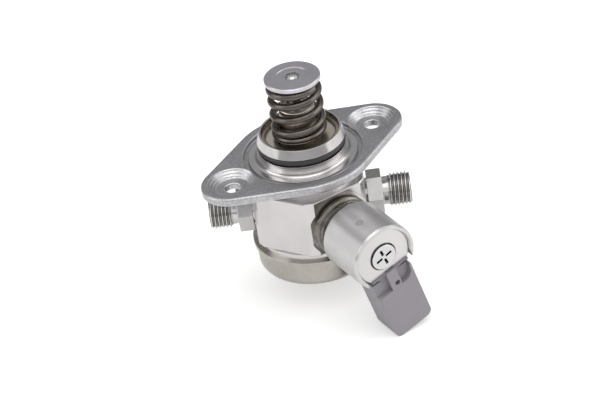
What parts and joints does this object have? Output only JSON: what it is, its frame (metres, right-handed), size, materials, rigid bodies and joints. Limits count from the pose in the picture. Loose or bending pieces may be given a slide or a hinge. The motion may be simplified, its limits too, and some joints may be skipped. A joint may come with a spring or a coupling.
{
  "type": "high pressure fuel pump",
  "caption": "Flange-mounted plunger fuel pump with a sprung plunger, hexagonal body, solenoid inlet valve, threaded inlet and outlet and a round damper cover.",
  "frame": {"origin": "on the plunger's axis, in the flange face that meets the engine", "axes": "+Z along the plunger towards its foot and the engine, +X to one bolt hole, -Y along the solenoid"},
  "size_m": [0.0908, 0.0814, 0.0992],
  "materials": {
    "turned_steel": "turned and milled stainless steel, satin",
    "flange_steel": "pressed stainless plate, tumbled bright",
    "drawn_steel": "deep-drawn stainless sheet",
    "cover_steel": "deep-drawn stainless cover, satin",
    "can_steel": "drawn and plated steel can, satin",
    "plate_steel": "stamped plated steel, fine satin",
    "fitting_steel": "turned stainless steel",
    "hard_steel": "hardened and ground steel",
    "retainer_steel": "hardened steel, grey satin",
    "spring_steel": "oiled spring wire, dark",
    "soft_iron": "soft magnetic steel",
    "ring_rubber": "moulded rubber",
    "seal_polymer": "filled seal polymer",
    "strainer_mesh": "fine woven stainless mesh",
    "bobbin_plastic": "glass-filled nylon",
    "winding_copper": "enamelled copper wire",
    "connector_plastic": "moulded grey glass-filled nylon",
    "terminal_brass": "tinned brass"
  },
  "bodies": {
    "pump_body": {"pump_housing": "turned_steel", "mounting_flange": "flange_steel", "spigot_o_ring": "ring_rubber", "solenoid_o_ring": "ring_rubber", "cylinder_liner": "hard_steel", "seal_carrier": "drawn_steel", "plunger_seal": "seal_polymer", "seal_retaining_ring": "drawn_steel", "return_spring": "spring_steel", "damper_cover": "cover_steel", "damper_diaphragm_upper": "drawn_steel", "damper_diaphragm_lower": "drawn_steel", "damper_holder_upper": "drawn_steel", "damper_holder_lower": "drawn_steel", "outlet_fitting": "fitting_steel", "inlet_fitting": "fitting_steel", "inlet_strainer": "strainer_mesh", "outlet_valve_seat": "hard_steel", "outlet_valve_cage": "drawn_steel", "outlet_valve_spring": "spring_steel", "relief_valve_plug": "turned_steel", "relief_valve_spring": "spring_steel", "inlet_valve_stop": "hard_steel", "inlet_valve_spring": "spring_steel", "solenoid_base": "turned_steel", "pole_core": "soft_iron", "armature_spring": "spring_steel", "armature_sleeve": "drawn_steel", "coil_bobbin": "bobbin_plastic", "coil_winding": "winding_copper", "solenoid_can": "can_steel", "solenoid_end_plate": "plate_steel", "connector_housing": "connector_plastic", "connector_terminals": "terminal_brass"},
    "plunger_body": {"plunger": "hard_steel", "spring_retainer": "retainer_steel"},
    "armature_body": {"armature": "soft_iron", "valve_needle": "hard_steel"},
    "valve_plate_body": {"inlet_valve_plate": "hard_steel"},
    "outlet_ball_body": {"outlet_check_ball": "hard_steel"},
    "relief_ball_body": {"relief_valve_ball": "hard_steel", "relief_valve_cup": "hard_steel"}
  },
  "joints": [
    {"name": "plunger_slide", "type": "slide", "parent": "pump_body", "child": "plunger_body", "axis": [0, 0, 1], "range_m": [-0.005, 0], "stiffness_N_per_m": 15000, "deforming": ["return_spring"]},
    {"name": "armature_slide", "type": "slide", "parent": "pump_body", "child": "armature_body", "axis": [0, -1, 0], "range_m": [0, 0.00045], "stiffness_N_per_m": 4000, "deforming": ["armature_spring"]},
    {"name": "inlet_valve_slide", "type": "slide", "parent": "pump_body", "child": "valve_plate_body", "axis": [0, -1, 0], "range_m": [0, 0.0004], "deforming": ["inlet_valve_spring"]},
    {"name": "outlet_valve_slide", "type": "slide", "parent": "pump_body", "child": "outlet_ball_body", "axis": [0.866, -0.5, 0], "range_m": [0, 0.0006], "stiffness_N_per_m": 500, "deforming": ["outlet_valve_spring"]},
    {"name": "relief_valve_slide", "type": "slide", "parent": "pump_body", "child": "relief_ball_body", "axis": [0, 0, -1], "range_m": [0, 0.0005], "stiffness_N_per_m": 5000, "deforming": ["relief_valve_spring"]}
  ],
  "couplings": [
    {"joint": "inlet_valve_slide", "follows": "armature_slide", "ratio": 0.88889}
  ]
}
